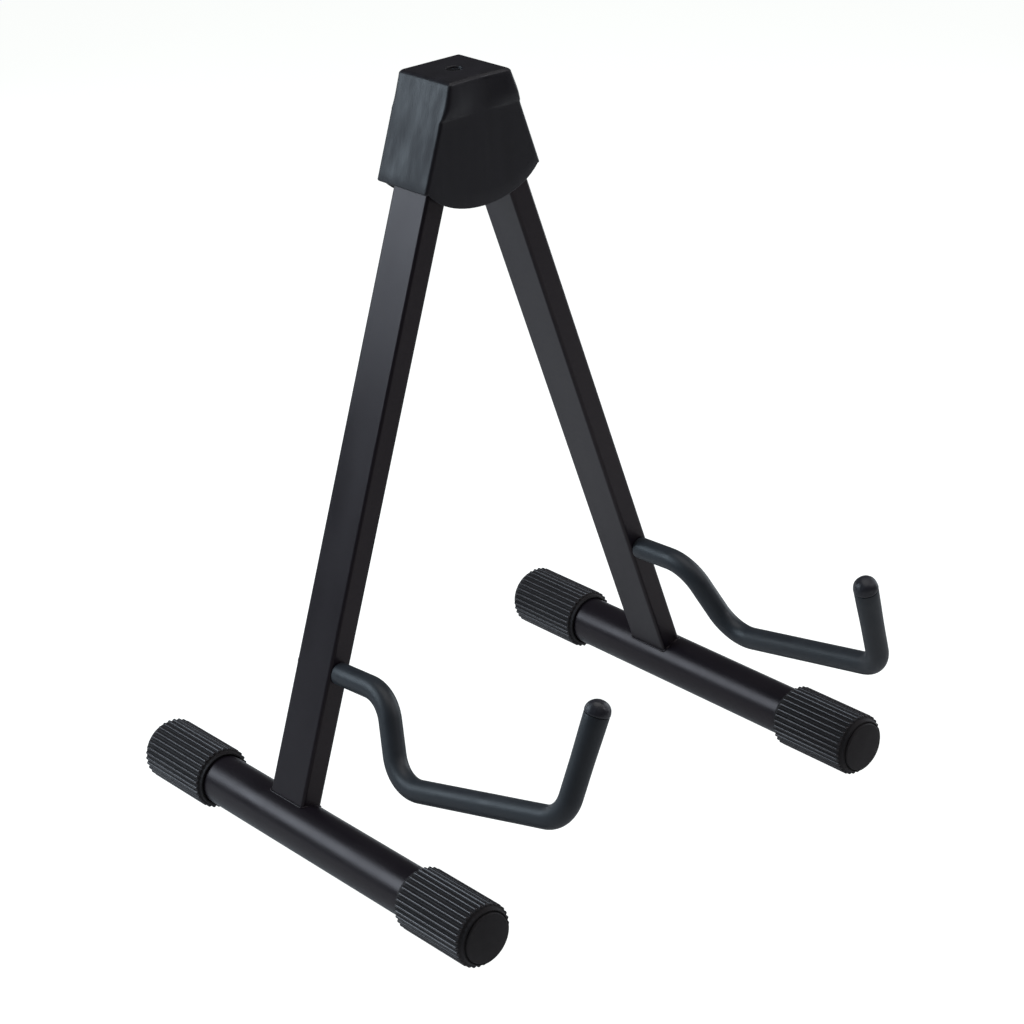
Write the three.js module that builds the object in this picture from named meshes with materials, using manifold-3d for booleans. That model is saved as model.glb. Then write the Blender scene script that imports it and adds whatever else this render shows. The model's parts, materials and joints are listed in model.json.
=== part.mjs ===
// A folding A-frame guitar stand: two rectangular tube legs welded to round floor rails, hinged in a
// covered head bracket, with a sleeved support arm on each leg.
// Millimetres, +Z up, the front is -Y, and the feet stand on z = 0.
import * as THREE from "three";
import { mergeVertices } from "three/addons/utils/BufferGeometryUtils.js";
import Module from "manifold-3d";

const wasm = await Module();
wasm.setup();

const GAP = 0.3; // clearance left between neighbouring pieces
const OVERCUT = 1; // how far a cutting tool runs past the face it opens

// Floor rails: round tube, parallel to Y
const RAIL_RADIUS = 15.8;
const RAIL_WALL = 1.2;
const RAIL_SPACING = 312.8; // between the two rail axes
const RAIL_FRONT = -178.8; // front and back ends, measured from the leg
const RAIL_BACK = 126.4;

// Rubber feet: ribbed sleeves with a closed outer end, pushed over the rail ends
const FOOT_RADIUS = 20; // to the rib crests, so also the height of the rail axes
const FOOT_RIBS = 32;
const RIB_LENGTH = 55.6;
const RIB_DEPTH = 1.3;
const RIB_CREST = 2; // width of a rib's flat crest
const FOOT_END_WALL = 5; // rubber beyond the rail's end, without the dome
const FOOT_DOME = 1.4;
const FOOT_DISC_RADIUS = 15.4;
const FOOT_CHAMFER_LENGTH = 3.8;
const FOOT_CHAMFER_RADIUS = 16.6;
const FOOT_LIP_LENGTH = 2.5; // short smooth lip at the mouth
const FOOT_LIP_RADIUS = 17.6;
const FOOT_CORE_RADIUS = 18.4; // smooth body, just inside the rib valleys
const FOOT_BORE_END = RIB_LENGTH + FOOT_CHAMFER_LENGTH - FOOT_END_WALL;

// Legs: rectangular tube, spread sideways, square to the rails when seen from the side
const LEG_WIDTH = 15;
const LEG_DEPTH = 32;
const LEG_WALL = 1.2;
const LEG_CORNER = 2;
const LEG_INNER_CORNER = LEG_CORNER - LEG_WALL;
const SPREAD = THREE.MathUtils.degToRad(18.8);
const PIVOT_ALONG = 437.8; // from the rail axis to the pivot, along the leg
const LEG_PAST_PIVOT = 10.2;
const LEG_START = 5; // the tube starts inside the rail's outline and is coped to it
const PLUG_FLANGE = 1.5;
const PLUG_BODY = 4.5;

// Support arms: a bent steel rod through the leg, a soft sleeve over it and a domed plug in the sleeve
const ARM_ALONG = 99.3; // where the rod crosses the leg's centre line, along the leg
const ARM_CORNERS = [ // forward from the leg's centre line, along the leg
  [60.8, 102.9],
  [87.1, 54.2],
  [221.5, 86],
];
const ARM_END = [228, 150.5];
const ARM_BENDS = [25, 25, 20]; // centre line radius at each corner
const ARM_SLOPE = (ARM_CORNERS[0][1] - ARM_ALONG) / ARM_CORNERS[0][0]; // of the stretch through the leg
const ROD_RADIUS = 4.5;
const SLEEVE_BORE = 5.1;
const SLEEVE_RADIUS = 7.05;
const TIP_DOME = 8;
const TIP_SPIGOT = 6;

// Head: a moulded cover over a pressed steel bracket that holds both leg pivots
const HEAD_TOP = 458.5;
const HEAD_SIDE_BOTTOM = 396;
const HEAD_ARC_BOTTOM = 380; // lowest point of the curved front and back skirts
const COVER_DEPTH = 46;
const COVER_SIDE = 15.1; // from the leg's centre line out to the cover's side face
const COVER_WALL = 2.2;
const COVER_TOP_WALL = 4.5;
const COVER_EDGE = 2; // rounding of the front and back edges
const PLATE = 1.5; // bracket sheet thickness
const BRACKET_INSIDE = 34.8; // between the front and back plates
const BRACKET_SIDE_BOTTOM = 397;
const BRACKET_ARC_BOTTOM = 385.5;
const STOP_TOP = 426; // the side stops reach up to here, below the pivots
const CAVITY_RUN_OUT = 10; // how far the head's cavities run on below its lower edge

// Pivots and the cover's screw
const RIVET_RADIUS = 3;
const RIVET_HEAD_RADIUS = 5.5;
const RIVET_HEAD = 1.2;
const WASHER_RADIUS = 7;
const WASHER = 0.8;
const SCREW_RADIUS = 2;
const SCREW_HEAD_RADIUS = 4;
const SCREW_HEAD = 1.6;
const SCREW_LENGTH = 10;
const RECESS_RADIUS = 5;
const RECESS_DEPTH = 2.2;
const NUT_FLATS = 7;
const NUT = 3;

// Facets
const RAIL_SIDES = 32;
const SMALL_SIDES = 16;
const SLEEVE_SIDES = 14;
const ROD_SIDES = 8;
const ARM_STEP = 7; // length of one straight piece of a bent tube
const TUBE_CORNER_STEPS = 3;
const FOOT_DOME_STEPS = 3;
const TIP_DOME_STEPS = 5;
const HEAD_ARC_STEPS = 8;
const HEAD_EDGE_STEPS = 2;

const RAIL_X = RAIL_SPACING / 2;
const LEG_END = PIVOT_ALONG + LEG_PAST_PIVOT;

const MATERIALS = {
  powderCoat: { color: 0x17181b, roughness: 0.42, metalness: 0 },
  rubber: { color: 0x17181a, roughness: 0.6, metalness: 0 },
  headCover: { color: 0x1c1d20, roughness: 0.65, metalness: 0 },
  sleeve: { color: 0x23282c, roughness: 0.5, metalness: 0 },
  glossPlug: { color: 0x101113, roughness: 0.3, metalness: 0 },
  zinc: { color: 0x9a9da1, roughness: 0.35, metalness: 1 },
  nylon: { color: 0xd8d6cf, roughness: 0.5, metalness: 0 },
  blackPlastic: { color: 0x1a1a1c, roughness: 0.55, metalness: 0 },
};

function piece(name, geometry, material) {
  const mesh = new THREE.Mesh(geometry, new THREE.MeshStandardMaterial(MATERIALS[material]));
  mesh.name = name;
  return mesh;
}

// ---- Solids and booleans ----

function toSolid(geometry) {
  const bare = geometry.clone();
  bare.deleteAttribute("normal");
  bare.deleteAttribute("uv");
  const merged = mergeVertices(bare, 1e-4);
  const mesh = new wasm.Mesh({
    numProp: 3,
    vertProperties: new Float32Array(merged.attributes.position.array),
    triVerts: new Uint32Array(merged.index.array),
  });
  return new wasm.Manifold(mesh);
}

function toGeometry(solid) {
  const mesh = solid.getMesh();
  const geometry = new THREE.BufferGeometry();
  geometry.setAttribute("position", new THREE.BufferAttribute(mesh.vertProperties, 3));
  geometry.setIndex(new THREE.BufferAttribute(mesh.triVerts, 1));
  geometry.computeVertexNormals();
  return geometry;
}

function joined(...geometries) {
  return toGeometry(geometries.map(toSolid).reduce((whole, part) => whole.add(part)));
}

function cut(geometry, ...tools) {
  return toGeometry(tools.map(toSolid).reduce((rest, tool) => rest.subtract(tool), toSolid(geometry)));
}

// ---- Basic shapes ----

function rectangle(width, height, corner) {
  const x = width / 2;
  const y = height / 2;
  const shape = new THREE.Shape();
  shape.moveTo(x, -y + corner);
  shape.absarc(x - corner, y - corner, corner, 0, Math.PI / 2);
  shape.absarc(-x + corner, y - corner, corner, Math.PI / 2, Math.PI);
  shape.absarc(-x + corner, -y + corner, corner, Math.PI, 1.5 * Math.PI);
  shape.absarc(x - corner, -y + corner, corner, 1.5 * Math.PI, 2 * Math.PI);
  return shape;
}

// The corners of a regular polygon, for rods, tubes and their bores.
function polygon(radius, sides) {
  const corner = (index) => {
    const angle = (index * 2 * Math.PI) / sides;
    return new THREE.Vector2(radius * Math.cos(angle), radius * Math.sin(angle));
  };
  return Array.from({ length: sides }, (_, index) => corner(index));
}

function prism(shape, from, to) {
  const options = { depth: to - from, bevelEnabled: false, curveSegments: TUBE_CORNER_STEPS };
  return new THREE.ExtrudeGeometry(shape, options).translate(0, 0, from);
}

// Turns a closed profile of [radius, height] points about the Y axis.
function turned(profile, sides) {
  const points = profile.map(([radius, height]) => new THREE.Vector2(radius, height));
  return new THREE.LatheGeometry(points, sides);
}

function ring(inner, outer, from, to, sides) {
  return turned([[inner, from], [outer, from], [outer, to], [inner, to], [inner, from]], sides);
}

// Profile points of a dome that starts at [radius, from] and rises to the axis.
function domeProfile(radius, from, height, steps) {
  return Array.from({ length: steps + 1 }, (_, step) => {
    const angle = (step / steps) * (Math.PI / 2);
    return [step === steps ? 0 : radius * Math.cos(angle), from + height * Math.sin(angle)];
  });
}

function rodAlongY(radius, length, sides) {
  return new THREE.CylinderGeometry(radius, radius, length, sides);
}

function group(...children) {
  const result = new THREE.Group();
  result.add(...children);
  return result;
}

// ---- Frames ----

// Origin on the rail axis under the leg; local Z runs up the leg and local Y straight back through it.
function legFrame(side, ...children) {
  const frame = group(...children);
  frame.position.set(side * RAIL_X, 0, FOOT_RADIUS);
  frame.rotation.y = -side * SPREAD;
  frame.updateMatrix();
  return frame;
}

function pivotPoint(side) {
  return new THREE.Vector3(0, 0, PIVOT_ALONG).applyMatrix4(legFrame(side, new THREE.Group()).matrix);
}

// The leg's centre line at a given height, seen from the front.
function legX(z) {
  return RAIL_X - (z - FOOT_RADIUS) * Math.tan(SPREAD);
}

// ---- Floor rail and feet ----

function rail(name) {
  const tube = ring(RAIL_RADIUS - RAIL_WALL, RAIL_RADIUS, RAIL_FRONT, RAIL_BACK, RAIL_SIDES);
  return piece(name, tube, "powderCoat");
}

// One rib points straight down, so that its flat crest is what the stand rests on.
function ribbedOutline() {
  const shape = new THREE.Shape();
  const pitch = (2 * Math.PI) / FOOT_RIBS;
  const points = [];
  for (let rib = 0; rib < FOOT_RIBS; rib += 1) {
    const corners = [[-RIB_CREST / 2, FOOT_RADIUS], [RIB_CREST / 2, FOOT_RADIUS]];
    const turn = rib * pitch;
    for (const [x, y] of corners) {
      points.push(new THREE.Vector2(x, y).rotateAround(new THREE.Vector2(), -turn));
    }
    const valley = new THREE.Vector2(0, FOOT_RADIUS - RIB_DEPTH);
    points.push(valley.rotateAround(new THREE.Vector2(), -turn - pitch / 2));
  }
  shape.setFromPoints(points);
  return shape;
}

// Local Y runs from the mouth to the closed end, and y = 0 is where the ribs start.
function footGeometry() {
  const ribs = prism(ribbedOutline(), 0, RIB_LENGTH).rotateX(-Math.PI / 2);
  const chamferEnd = RIB_LENGTH + FOOT_CHAMFER_LENGTH;
  const body = turned([
    [0, -FOOT_LIP_LENGTH],
    [FOOT_LIP_RADIUS, -FOOT_LIP_LENGTH],
    [FOOT_CORE_RADIUS, 0],
    [FOOT_CORE_RADIUS, RIB_LENGTH],
    [FOOT_CHAMFER_RADIUS, chamferEnd],
    ...domeProfile(FOOT_DISC_RADIUS, chamferEnd, FOOT_DOME, FOOT_DOME_STEPS),
  ], RAIL_SIDES);
  const boreStart = -FOOT_LIP_LENGTH - OVERCUT;
  const bore = rodAlongY(RAIL_RADIUS + GAP, FOOT_BORE_END - boreStart, RAIL_SIDES);
  bore.translate(0, (FOOT_BORE_END + boreStart) / 2, 0);
  return cut(joined(ribs, body), bore);
}

function feet(sideName, geometry) {
  const back = piece(`${sideName}_back_foot`, geometry, "rubber");
  back.position.y = RAIL_BACK + GAP - FOOT_BORE_END;
  const front = piece(`${sideName}_front_foot`, geometry, "rubber");
  front.position.y = RAIL_FRONT - GAP + FOOT_BORE_END;
  front.rotation.z = Math.PI;
  return [front, back];
}

// ---- Leg ----

function leg(side, name) {
  const outline = rectangle(LEG_WIDTH, LEG_DEPTH, LEG_CORNER);
  outline.holes.push(rectangle(LEG_WIDTH - 2 * LEG_WALL, LEG_DEPTH - 2 * LEG_WALL, LEG_INNER_CORNER));
  const tube = prism(outline, LEG_START, LEG_END);
  const railLength = RAIL_BACK - RAIL_FRONT;
  const railBody = rodAlongY(RAIL_RADIUS + GAP, railLength, RAIL_SIDES);
  railBody.translate(side * RAIL_X, 0, FOOT_RADIUS);
  railBody.applyMatrix4(legFrame(side, new THREE.Group()).matrix.invert());
  const rodHole = rodAlongY(ROD_RADIUS + 2 * GAP, 2 * LEG_DEPTH, SMALL_SIDES);
  rodHole.rotateX(-Math.atan(ARM_SLOPE)).translate(0, 0, ARM_ALONG);
  const pivotHole = rodAlongY(RIVET_RADIUS + GAP, 2 * LEG_DEPTH, SMALL_SIDES).translate(0, 0, PIVOT_ALONG);
  return piece(name, cut(tube, railBody, rodHole, pivotHole), "powderCoat");
}

function legPlug(name) {
  const inset = 2 * (LEG_WALL + GAP);
  const bodyOutline = rectangle(LEG_WIDTH - inset, LEG_DEPTH - inset, LEG_INNER_CORNER);
  const body = prism(bodyOutline, -PLUG_BODY, PLUG_FLANGE / 2);
  const flange = prism(rectangle(LEG_WIDTH, LEG_DEPTH, LEG_CORNER), 0, PLUG_FLANGE);
  const plug = piece(name, joined(body, flange), "blackPlastic");
  plug.position.z = LEG_END + GAP;
  return plug;
}

// ---- Support arm ----

// A flat polyline with an arc of the given radius at each inner corner.
function roundedLine(start, corners, end, radii) {
  const points = [start, ...corners, end].map(([x, y]) => new THREE.Vector2(x, y));
  const line = new THREE.Path();
  line.moveTo(points[0].x, points[0].y);
  for (let index = 1; index < points.length - 1; index += 1) {
    const radius = radii[index - 1];
    const arriving = points[index].clone().sub(points[index - 1]).normalize();
    const leaving = points[index + 1].clone().sub(points[index]).normalize();
    const turn = Math.atan2(arriving.cross(leaving), arriving.dot(leaving));
    const tangent = radius * Math.tan(Math.abs(turn) / 2);
    const arcStart = points[index].clone().addScaledVector(arriving, -tangent);
    const towardsCentre = new THREE.Vector2(-arriving.y, arriving.x).multiplyScalar(Math.sign(turn));
    const centre = arcStart.clone().addScaledVector(towardsCentre, radius);
    const startAngle = arcStart.clone().sub(centre).angle();
    line.lineTo(arcStart.x, arcStart.y);
    line.absarc(centre.x, centre.y, radius, startAngle, startAngle + turn, turn < 0);
  }
  line.lineTo(points.at(-1).x, points.at(-1).y);
  return line;
}

// Lifts a flat line into the leg's frame: forward is -Y and along the leg is +Z.
class ArmCurve extends THREE.Curve {
  constructor(line) {
    super();
    this.line = line;
  }

  getPoint(t, target = new THREE.Vector3()) {
    const point = this.line.getPointAt(t);
    return target.set(0, -point.x, point.y);
  }
}

function bentTube(outer, start, end) {
  const curve = new ArmCurve(roundedLine(start, ARM_CORNERS, end, ARM_BENDS));
  const steps = Math.round(curve.getLength() / ARM_STEP);
  return new THREE.ExtrudeGeometry(outer, { extrudePath: curve, steps, bevelEnabled: false });
}

// A point this far short of the arm's end, on its last straight stretch.
function nearArmEnd(distance) {
  const end = new THREE.Vector2(...ARM_END);
  const corner = new THREE.Vector2(...ARM_CORNERS.at(-1));
  return end.addScaledVector(end.clone().sub(corner).normalize(), -distance).toArray();
}

// A point on the arm's first stretch, at a distance in front of the leg's centre line.
function onFirstStretch(forward) {
  return [forward, ARM_ALONG + forward * ARM_SLOPE];
}

function arm(sideName) {
  const rodStart = onFirstStretch(-LEG_DEPTH / 2 + GAP);
  const rodShape = new THREE.Shape(polygon(ROD_RADIUS, ROD_SIDES));
  const rod = bentTube(rodShape, rodStart, nearArmEnd(TIP_SPIGOT + 2 * GAP));
  const sleeveShape = new THREE.Shape(polygon(SLEEVE_RADIUS, SLEEVE_SIDES));
  sleeveShape.holes.push(new THREE.Path(polygon(SLEEVE_BORE, ROD_SIDES)));
  const sleeve = bentTube(sleeveShape, onFirstStretch(LEG_DEPTH / 2 + 3 * GAP), ARM_END);

  const tipGeometry = turned([
    [0, GAP - TIP_SPIGOT],
    [ROD_RADIUS, GAP - TIP_SPIGOT],
    [ROD_RADIUS, GAP],
    ...domeProfile(SLEEVE_RADIUS, GAP, TIP_DOME, TIP_DOME_STEPS),
  ], SMALL_SIDES);
  const tip = piece(`${sideName}_arm_tip`, tipGeometry, "glossPlug");
  const [forward, along] = ARM_END;
  const [cornerForward, cornerAlong] = ARM_CORNERS.at(-1);
  tip.position.set(0, -forward, along);
  tip.rotation.x = Math.atan2(along - cornerAlong, cornerForward - forward);

  return [
    piece(`${sideName}_arm_rod`, rod, "powderCoat"),
    piece(`${sideName}_arm_sleeve`, sleeve, "sleeve"),
    tip,
  ];
}

// ---- Head ----

// The head's front outline: sides parallel to the legs, a flat top and a curved lower edge.
function headOutline(sideOffset, top, sideBottom, arcBottom) {
  const offset = sideOffset / Math.cos(SPREAD);
  const bottomX = legX(sideBottom) + offset;
  const rise = sideBottom - arcBottom;
  const radius = (bottomX * bottomX + rise * rise) / (2 * rise);
  const centreZ = arcBottom + radius;
  const halfAngle = Math.asin(bottomX / radius);
  const down = -Math.PI / 2;
  const shape = new THREE.Shape();
  shape.moveTo(legX(top) + offset, top);
  shape.lineTo(-legX(top) - offset, top);
  shape.lineTo(-bottomX, sideBottom);
  shape.absarc(0, centreZ, radius, down - halfAngle, down + halfAngle);
  return shape;
}

// Runs an outline, drawn as seen from the front, through from front to back.
function throughPrism(shape, depth, edge = 0) {
  const geometry = new THREE.ExtrudeGeometry(shape, {
    depth: depth - 2 * edge,
    curveSegments: HEAD_ARC_STEPS,
    bevelEnabled: edge > 0,
    bevelThickness: edge,
    bevelSize: edge,
    bevelOffset: -edge,
    bevelSegments: HEAD_EDGE_STEPS,
  });
  geometry.translate(0, 0, -(depth - 2 * edge) / 2);
  return geometry.rotateX(Math.PI / 2);
}

function verticalRod(radius, from, to, sides) {
  const geometry = rodAlongY(radius, to - from, sides).rotateX(Math.PI / 2);
  return geometry.translate(0, 0, (from + to) / 2);
}

// An outline whose sides run on below the head, so that the cavity it cuts is open underneath.
function cavityOutline(sideOffset, top) {
  const below = HEAD_ARC_BOTTOM - CAVITY_RUN_OUT;
  return headOutline(sideOffset, top, below, below - OVERCUT);
}

function headCover() {
  const outline = headOutline(COVER_SIDE, HEAD_TOP, HEAD_SIDE_BOTTOM, HEAD_ARC_BOTTOM);
  const outer = throughPrism(outline, COVER_DEPTH, COVER_EDGE);
  const insideTop = HEAD_TOP - COVER_TOP_WALL;
  const inside = cavityOutline(COVER_SIDE - COVER_WALL, insideTop);
  const cavity = throughPrism(inside, COVER_DEPTH - 2 * COVER_WALL);
  const recess = verticalRod(RECESS_RADIUS, HEAD_TOP - RECESS_DEPTH, HEAD_TOP + OVERCUT, SMALL_SIDES);
  const hole = verticalRod(SCREW_RADIUS + GAP, insideTop - OVERCUT, HEAD_TOP, SMALL_SIDES);
  return piece("head_cover", cut(outer, cavity, recess, hole), "headCover");
}

function headBracket() {
  const top = HEAD_TOP - COVER_TOP_WALL - GAP;
  const webUnderside = top - PLATE;
  const inner = LEG_WIDTH / 2 + GAP;
  const outline = headOutline(inner + PLATE, top, BRACKET_SIDE_BOTTOM, BRACKET_ARC_BOTTOM);
  const body = throughPrism(outline, BRACKET_INSIDE + 2 * PLATE);
  const cavity = throughPrism(cavityOutline(inner, webUnderside), BRACKET_INSIDE);
  const openSides = new THREE.BoxGeometry(RAIL_SPACING, BRACKET_INSIDE, webUnderside - STOP_TOP);
  openSides.translate(0, 0, (webUnderside + STOP_TOP) / 2);
  const screwHole = verticalRod(SCREW_RADIUS + GAP, webUnderside - OVERCUT, top + OVERCUT, SMALL_SIDES);
  const rivetHoles = [-1, 1].map((side) => {
    const hole = rodAlongY(RIVET_RADIUS + GAP, 2 * BRACKET_INSIDE, SMALL_SIDES);
    return hole.translate(...pivotPoint(side));
  });
  return piece("head_bracket", cut(body, cavity, openSides, screwHole, ...rivetHoles), "powderCoat");
}

function coverScrew() {
  const seat = HEAD_TOP - RECESS_DEPTH + GAP;
  const shank = verticalRod(SCREW_RADIUS, seat - SCREW_LENGTH, seat + SCREW_HEAD / 2, SMALL_SIDES);
  const head = verticalRod(SCREW_HEAD_RADIUS, seat, seat + SCREW_HEAD, SMALL_SIDES);
  return piece("cover_screw", joined(shank, head), "zinc");
}

function coverNut() {
  const top = HEAD_TOP - COVER_TOP_WALL - PLATE - 2 * GAP;
  const cornerRadius = NUT_FLATS / Math.sqrt(3);
  const hexagon = verticalRod(cornerRadius, top - NUT, top, 6);
  const bore = verticalRod(SCREW_RADIUS + GAP, top - NUT - OVERCUT, top + OVERCUT, SMALL_SIDES);
  return piece("cover_nut", cut(hexagon, bore), "zinc");
}

// The rivet through one leg and the bracket, with a washer between leg and plate on each face.
function pivot(side, sideName) {
  const headStart = BRACKET_INSIDE / 2 + PLATE + GAP;
  const headEnd = headStart + RIVET_HEAD;
  const rivet = turned([
    [0, -headEnd],
    [RIVET_HEAD_RADIUS, -headEnd],
    [RIVET_HEAD_RADIUS, -headStart],
    [RIVET_RADIUS, -headStart],
    [RIVET_RADIUS, headStart],
    [RIVET_HEAD_RADIUS, headStart],
    [RIVET_HEAD_RADIUS, headEnd],
    [0, headEnd],
  ], SMALL_SIDES);
  const washer = ring(RIVET_RADIUS + GAP, WASHER_RADIUS, -WASHER / 2, WASHER / 2, SMALL_SIDES);
  const washerY = LEG_DEPTH / 2 + GAP + WASHER / 2;
  const washers = [["front", -washerY], ["back", washerY]].map(([where, y]) => {
    const mesh = piece(`${sideName}_${where}_washer`, washer, "nylon");
    mesh.position.y = y;
    return mesh;
  });
  const result = group(piece(`${sideName}_pivot_rivet`, rivet, "zinc"), ...washers);
  result.position.copy(pivotPoint(side));
  return result;
}

// ---- Assembly ----

const footShape = footGeometry();
const stand = group(headCover(), headBracket(), coverScrew(), coverNut());
for (const [side, sideName] of [[-1, "left"], [1, "right"]]) {
  const floorParts = group(rail(`${sideName}_rail`), ...feet(sideName, footShape));
  floorParts.position.set(side * RAIL_X, 0, FOOT_RADIUS);
  const legParts = [leg(side, `${sideName}_leg`), legPlug(`${sideName}_leg_plug`), ...arm(sideName)];
  stand.add(floorParts, legFrame(side, ...legParts), pivot(side, sideName));
}

// The origin is on the floor, midway between the foremost and rearmost points.
const extent = new THREE.Box3().setFromObject(stand, true);
stand.position.y = -(extent.min.y + extent.max.y) / 2;

export default group(stand);
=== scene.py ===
"""A folding A-frame guitar stand in black powder-coated tube, on a pale studio floor.

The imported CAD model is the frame. The feet, rails, legs, sleeves, arm tips, head cover and its screw
are modelled here in finer detail, and the weld beads are added. The pieces inside the head keep their
CAD shape.
Metres, +Z up, the front is -Y.
"""
import json
import math

import bmesh
import bpy
from mathutils import Matrix, Vector, noise


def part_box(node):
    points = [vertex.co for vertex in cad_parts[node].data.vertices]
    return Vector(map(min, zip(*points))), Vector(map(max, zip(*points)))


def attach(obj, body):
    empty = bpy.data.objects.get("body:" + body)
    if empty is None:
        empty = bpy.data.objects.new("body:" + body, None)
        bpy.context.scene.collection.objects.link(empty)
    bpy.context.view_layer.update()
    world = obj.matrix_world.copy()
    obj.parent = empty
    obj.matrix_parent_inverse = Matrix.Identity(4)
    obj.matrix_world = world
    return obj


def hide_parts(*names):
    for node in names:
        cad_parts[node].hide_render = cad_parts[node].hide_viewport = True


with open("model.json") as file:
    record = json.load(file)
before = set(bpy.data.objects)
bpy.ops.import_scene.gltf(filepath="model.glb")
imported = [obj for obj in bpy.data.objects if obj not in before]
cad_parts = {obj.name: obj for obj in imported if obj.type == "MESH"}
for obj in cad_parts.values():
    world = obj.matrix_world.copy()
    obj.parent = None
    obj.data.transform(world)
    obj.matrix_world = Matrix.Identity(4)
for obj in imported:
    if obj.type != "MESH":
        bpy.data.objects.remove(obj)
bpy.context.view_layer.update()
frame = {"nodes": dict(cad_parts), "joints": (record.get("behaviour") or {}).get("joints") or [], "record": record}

MM = 0.001
ACROSS = Vector((1, 0, 0))
UP = Vector((0, 0, 1))

# Feet: distances run from the mouth towards the closed end
FOOT_LENGTH = 63.3 * MM
FOOT_BORE_END = 56.9 * MM
FOOT_RIBS = 32
RIB_BASE = 18.7 * MM  # radius of the valleys
RIB_HEIGHT = 1.3 * MM
# One rib's cross-section in millimetres: distance from its middle, share of its height
RIB_PROFILE = [(0.0, 1.0), (0.3, 0.965), (0.55, 0.87), (0.78, 0.7), (0.98, 0.45), (1.14, 0.2),
               (1.28, 0.05), (1.42, 0.0)]
# The skin in millimetres, from the bore's end round the mouth to the closed end: distance, radius, and
# share of the ribs' height
FOOT_ROWS = [(56.9, 16.1, 0), (0.9, 16.1, 0), (0.3, 16.2, 0), (0.05, 16.45, 0), (0.0, 16.75, 0),
             (0.0, 17.2, 0), (0.06, 17.42, 0), (0.22, 17.56, 0), (0.5, 17.62, 0), (1.6, 17.7, 0),
             (2.1, 17.86, 0), (2.35, 18.1, 0), (2.5, 18.4, 0.15), (2.6, 18.58, 0.6), (2.75, 18.67, 0.9),
             (3.1, 18.7, 1), (4, 18.7, 1), (20, 18.7, 1), (40, 18.7, 1), (56.8, 18.7, 1),
             (57.6, 18.7, 0.97), (57.95, 18.66, 0.84), (58.15, 18.58, 0.5), (58.3, 18.42, 0.12),
             (58.45, 18.2, 0), (58.75, 17.9, 0), (59.1, 17.65, 0), (59.6, 17.45, 0), (60.5, 17.2, 0),
             (60.95, 16.98, 0), (61.1, 16.7, 0), (61.0, 16.4, 0), (60.7, 16.15, 0), (60.5, 15.9, 0),
             (60.55, 15.72, 0), (60.9, 15.6, 0), (61.7, 15.54, 0), (62.1, 15.44, 0), (62.32, 15.26, 0),
             (62.42, 15.0, 0), (62.5, 14.3, 0), (62.75, 12, 0), (63.06, 8, 0), (63.24, 4, 0)]
FOOT_DISC_START = 61.65  # rows beyond this are the raised end disc
CREST_POLISH_HIGHLIGHT = (0.15, 0.8)  # shares of a rib's height where its polish and its painted highlight start and are full
# the end disc's share of the crests' mix: a lighter colour painted on as sheen, and a little polish
DISC_POLISH_SHEEN = 0.1

# Legs and floor rails
RAIL_WALL = 1.2 * MM
RAIL_SIDES = 96
LEG_WIDTH = 15 * MM
LEG_DEPTH = 32 * MM
LEG_WALL = 1.2 * MM
LEG_CORNER = 2 * MM
LEG_CORNER_STEPS = 8
LEG_PAST_PIVOT = 10.2 * MM
LEG_SEAT = 0.05 * MM  # clearance between the coped end and the rail
FLAT_MARGIN = 0.35 * MM  # first point past a rounded corner, which keeps the flat's shading flat

# Weld bead round the leg's lower end
LEG_WELD_OUT = 0.3 * MM  # bead's middle, out from the leg's faces
LEG_WELD_LIFT = 0.1 * MM  # and off the rail
LEG_WELD_RADIUS = 0.6 * MM
LEG_WELD_SIDES = 12
LEG_WELD_CORNER_STEPS = 6
LEG_WELD_STEP = 0.6 * MM
LEG_WELD_PUDDLE = 1.9 * MM  # from one puddle to the next
LEG_WELD_RIPPLE = 0.1  # shares of its radius: the puddles' swell, and their unevenness
LEG_WELD_UNEVEN = 0.12

# Weld on the leg's back, over the end of the arm's rod
ARM_WELD_SIDES = 40
ARM_WELD_START = -0.6  # millimetres behind the leg's back face
ARM_WELD_PROFILE = [(ARM_WELD_START, 3), (ARM_WELD_START, 6.6), (0.0, 6.7), (0.14, 6.3), (0.3, 5.0),
                    (0.39, 3.2), (0.42, 1.4)]
ARM_WELD_END = 0.44
ARM_WELD_UNEVEN = 0.06

# Support arms: (forward from the leg's centre line, along the leg)
ARM_ALONG = 99.3 * MM
ARM_CORNERS = [(60.8 * MM, 102.9 * MM), (87.1 * MM, 54.2 * MM), (221.5 * MM, 86 * MM)]
ARM_END = (228 * MM, 150.5 * MM)
ARM_BENDS = [25 * MM, 25 * MM, 20 * MM]
ARM_SLOPE = (ARM_CORNERS[0][1] - ARM_ALONG) / ARM_CORNERS[0][0]
ARM_ARC_STEP = math.radians(4)
ARM_LINE_STEP = 8 * MM
SLEEVE_START = 0.5 * MM  # from the leg's front face
SLEEVE_RADIUS = 7.05 * MM
SLEEVE_BORE = 5.1 * MM
SLEEVE_SIDES = 48
SLEEVE_START_EDGE = 0.7 * MM
SLEEVE_END_EDGE = 0.4 * MM
SLEEVE_SLACK = 0.006  # how far the sleeve's radius wanders
SLEEVE_FLARE = 0.065  # how much wider the sleeve is where it meets the tip
SLEEVE_FLARE_LENGTH = 34 * MM
TIP_SIDES = 48
TIP_SPIGOT = 5.7 * MM
TIP_SPIGOT_RADIUS = 4.4 * MM
TIP_RADIUS = 7.65 * MM
TIP_DOME_START = 1.4 * MM
TIP_DOME_STEPS = 14
TIP_HEIGHT = 8.3 * MM
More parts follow.
